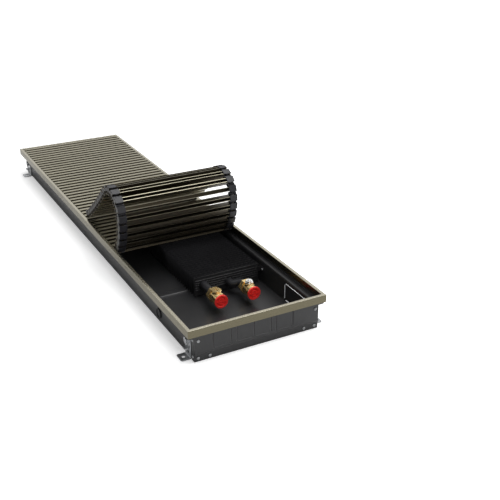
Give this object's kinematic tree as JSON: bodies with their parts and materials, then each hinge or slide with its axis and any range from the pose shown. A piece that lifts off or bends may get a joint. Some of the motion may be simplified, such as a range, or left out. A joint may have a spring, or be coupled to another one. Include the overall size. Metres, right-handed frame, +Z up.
{
  "type": "trench convector heater",
  "caption": "Floor trench heater: sheet casing with trim frame, finned water exchanger, capped connections and a roll-up slatted grille.",
  "frame": {"origin": "middle of the unit's length and width, on the underside of the casing where it stands", "axes": "+X along the unit towards its connection end, +Y towards the wall beside the exchanger, +Z up"},
  "size_m": [1, 0.262, 0.1784],
  "materials": {
    "casing": "satin black powder coat on steel sheet",
    "frame": "bronze anodised, brushed",
    "slat": "light bronze anodised, satin",
    "link": "black moulded plastic",
    "fins": "black coated sheet",
    "tube": "black painted tube",
    "brass": "turned brass",
    "nickel": "nickel plated",
    "red_cap": "red moulded plastic",
    "zinc": "zinc plated steel",
    "rubber": "black rubber"
  },
  "bodies": {
    "unit": {"trough": "casing", "end_plates": "casing", "frame_bars": "frame", "laid_slats": "slat", "laid_links": "link", "fin_pack": "fins", "end_sheets": "casing", "rails": "casing", "tubes": "tube", "connectors": "brass", "blank_plug": "brass", "vent_body": "nickel", "foot_brackets": "zinc", "screws": "zinc", "rubber_plug": "rubber"},
    "vent_spindle": {"vent_spindle": "nickel"},
    "cap_flow": {"cap_flow": "red_cap"},
    "cap_return": {"cap_return": "red_cap"},
    "slat_01": {"roll_slat_01": "slat", "roll_links_01": "link"},
    "slat_02": {"roll_slat_02": "slat", "roll_links_02": "link"},
    "slat_03": {"roll_slat_03": "slat", "roll_links_03": "link"},
    "slat_04": {"roll_slat_04": "slat", "roll_links_04": "link"},
    "slat_05": {"roll_slat_05": "slat", "roll_links_05": "link"},
    "slat_06": {"roll_slat_06": "slat", "roll_links_06": "link"},
    "slat_07": {"roll_slat_07": "slat", "roll_links_07": "link"},
    "slat_08": {"roll_slat_08": "slat", "roll_links_08": "link"},
    "slat_09": {"roll_slat_09": "slat", "roll_links_09": "link"},
    "slat_10": {"roll_slat_10": "slat", "roll_links_10": "link"},
    "slat_11": {"roll_slat_11": "slat", "roll_links_11": "link"},
    "slat_12": {"roll_slat_12": "slat", "roll_links_12": "link"},
    "slat_13": {"roll_slat_13": "slat", "roll_links_13": "link"},
    "slat_14": {"roll_slat_14": "slat", "roll_links_14": "link"},
    "slat_15": {"roll_slat_15": "slat", "roll_links_15": "link"},
    "slat_16": {"roll_slat_16": "slat", "roll_links_16": "link"},
    "slat_17": {"roll_slat_17": "slat", "roll_links_17": "link"},
    "slat_18": {"roll_slat_18": "slat", "roll_links_18": "link"},
    "slat_19": {"roll_slat_19": "slat", "roll_links_19": "link"},
    "slat_20": {"roll_slat_20": "slat", "roll_links_20": "link"},
    "slat_21": {"roll_slat_21": "slat", "roll_links_21": "link"}
  },
  "joints": [
    {"name": "roll_hinge_01", "type": "hinge", "parent": "unit", "child": "slat_01", "pos_m": [0.1539, 0, 0.0535], "axis": [0, 1, 0], "range_deg": [0, 29]},
    {"name": "roll_hinge_02", "type": "hinge", "parent": "slat_01", "child": "slat_02", "pos_m": [0.16807, 0, 0.06135], "axis": [0, 1, 0], "range_deg": [0, 29]},
    {"name": "roll_hinge_03", "type": "hinge", "parent": "slat_02", "child": "slat_03", "pos_m": [0.17665, 0, 0.07509], "axis": [0, 1, 0], "range_deg": [0, 8.5]},
    {"name": "roll_hinge_04", "type": "hinge", "parent": "slat_03", "child": "slat_04", "pos_m": [0.18311, 0, 0.08995], "axis": [0, 1, 0], "range_deg": [0, 8.5]},
    {"name": "roll_hinge_05", "type": "hinge", "parent": "slat_04", "child": "slat_05", "pos_m": [0.18731, 0, 0.1056], "axis": [0, 1, 0], "range_deg": [0, 8.5]},
    {"name": "roll_hinge_06", "type": "hinge", "parent": "slat_05", "child": "slat_06", "pos_m": [0.18914, 0, 0.12169], "axis": [0, 1, 0], "range_deg": [0, 8.5]},
    {"name": "roll_hinge_07", "type": "hinge", "parent": "slat_06", "child": "slat_07", "pos_m": [0.18857, 0, 0.13788], "axis": [0, 1, 0], "range_deg": [0, 21.7]},
    {"name": "roll_hinge_08", "type": "hinge", "parent": "slat_07", "child": "slat_08", "pos_m": [0.18206, 0, 0.15272], "axis": [0, 1, 0], "range_deg": [0, 21.7]},
    {"name": "roll_hinge_09", "type": "hinge", "parent": "slat_08", "child": "slat_09", "pos_m": [0.17053, 0, 0.16409], "axis": [0, 1, 0], "range_deg": [0, 21.7]},
    {"name": "roll_hinge_10", "type": "hinge", "parent": "slat_09", "child": "slat_10", "pos_m": [0.1556, 0, 0.17039], "axis": [0, 1, 0], "range_deg": [0, 21.7]},
    {"name": "roll_hinge_11", "type": "hinge", "parent": "slat_10", "child": "slat_11", "pos_m": [0.13941, 0, 0.17073], "axis": [0, 1, 0], "range_deg": [0, 21.7]},
    {"name": "roll_hinge_12", "type": "hinge", "parent": "slat_11", "child": "slat_12", "pos_m": [0.12423, 0, 0.16505], "axis": [0, 1, 0], "range_deg": [0, 21.7]},
    {"name": "roll_hinge_13", "type": "hinge", "parent": "slat_12", "child": "slat_13", "pos_m": [0.11224, 0, 0.15416], "axis": [0, 1, 0], "range_deg": [-1, 0]},
    {"name": "roll_hinge_14", "type": "hinge", "parent": "slat_13", "child": "slat_14", "pos_m": [0.10005, 0, 0.14349], "axis": [0, 1, 0], "range_deg": [-1, 0]},
    {"name": "roll_hinge_15", "type": "hinge", "parent": "slat_14", "child": "slat_15", "pos_m": [0.08768, 0, 0.13303], "axis": [0, 1, 0], "range_deg": [-1, 0]},
    {"name": "roll_hinge_16", "type": "hinge", "parent": "slat_15", "child": "slat_16", "pos_m": [0.07513, 0, 0.12279], "axis": [0, 1, 0], "range_deg": [-1, 0]},
    {"name": "roll_hinge_17", "type": "hinge", "parent": "slat_16", "child": "slat_17", "pos_m": [0.0624, 0, 0.11277], "axis": [0, 1, 0], "range_deg": [-1, 0]},
    {"name": "roll_hinge_18", "type": "hinge", "parent": "slat_17", "child": "slat_18", "pos_m": [0.0495, 0, 0.10297], "axis": [0, 1, 0], "range_deg": [-1, 0]},
    {"name": "roll_hinge_19", "type": "hinge", "parent": "slat_18", "child": "slat_19", "pos_m": [0.03643, 0, 0.0934], "axis": [0, 1, 0], "range_deg": [-1, 0]},
    {"name": "roll_hinge_20", "type": "hinge", "parent": "slat_19", "child": "slat_20", "pos_m": [0.02319, 0, 0.08405], "axis": [0, 1, 0], "range_deg": [-1, 0]},
    {"name": "roll_hinge_21", "type": "hinge", "parent": "slat_20", "child": "slat_21", "pos_m": [0.0098, 0, 0.07494], "axis": [0, 1, 0], "range_deg": [-12, 0]},
    {"name": "vent_turn", "type": "hinge", "parent": "unit", "child": "vent_spindle", "pos_m": [0.35895, 0.0565, 0.04196], "axis": [0, 0, 1], "range_deg": [0, 360]},
    {"name": "cap_flow_pull", "type": "slide", "parent": "unit", "child": "cap_flow", "axis": [1, 0, 0], "range_m": [0, 0.03]},
    {"name": "cap_return_pull", "type": "slide", "parent": "unit", "child": "cap_return", "axis": [1, 0, 0], "range_m": [0, 0.03]}
  ],
  "couplings": [
    {"joint": "roll_hinge_02", "follows": "roll_hinge_01", "ratio": 1},
    {"joint": "roll_hinge_03", "follows": "roll_hinge_01", "ratio": 0.2931},
    {"joint": "roll_hinge_04", "follows": "roll_hinge_01", "ratio": 0.2931},
    {"joint": "roll_hinge_05", "follows": "roll_hinge_01", "ratio": 0.2931},
    {"joint": "roll_hinge_06", "follows": "roll_hinge_01", "ratio": 0.2931},
    {"joint": "roll_hinge_07", "follows": "roll_hinge_01", "ratio": 0.74837},
    {"joint": "roll_hinge_08", "follows": "roll_hinge_01", "ratio": 0.74837},
    {"joint": "roll_hinge_09", "follows": "roll_hinge_01", "ratio": 0.74837},
    {"joint": "roll_hinge_10", "follows": "roll_hinge_01", "ratio": 0.74837},
    {"joint": "roll_hinge_11", "follows": "roll_hinge_01", "ratio": 0.74837},
    {"joint": "roll_hinge_12", "follows": "roll_hinge_01", "ratio": 0.74837},
    {"joint": "roll_hinge_13", "follows": "roll_hinge_01", "ratio": -0.034483},
    {"joint": "roll_hinge_14", "follows": "roll_hinge_01", "ratio": -0.034483},
    {"joint": "roll_hinge_15", "follows": "roll_hinge_01", "ratio": -0.034483},
    {"joint": "roll_hinge_16", "follows": "roll_hinge_01", "ratio": -0.034483},
    {"joint": "roll_hinge_17", "follows": "roll_hinge_01", "ratio": -0.034483},
    {"joint": "roll_hinge_18", "follows": "roll_hinge_01", "ratio": -0.034483},
    {"joint": "roll_hinge_19", "follows": "roll_hinge_01", "ratio": -0.034483},
    {"joint": "roll_hinge_20", "follows": "roll_hinge_01", "ratio": -0.034483},
    {"joint": "roll_hinge_21", "follows": "roll_hinge_01", "ratio": -0.41379}
  ]
}
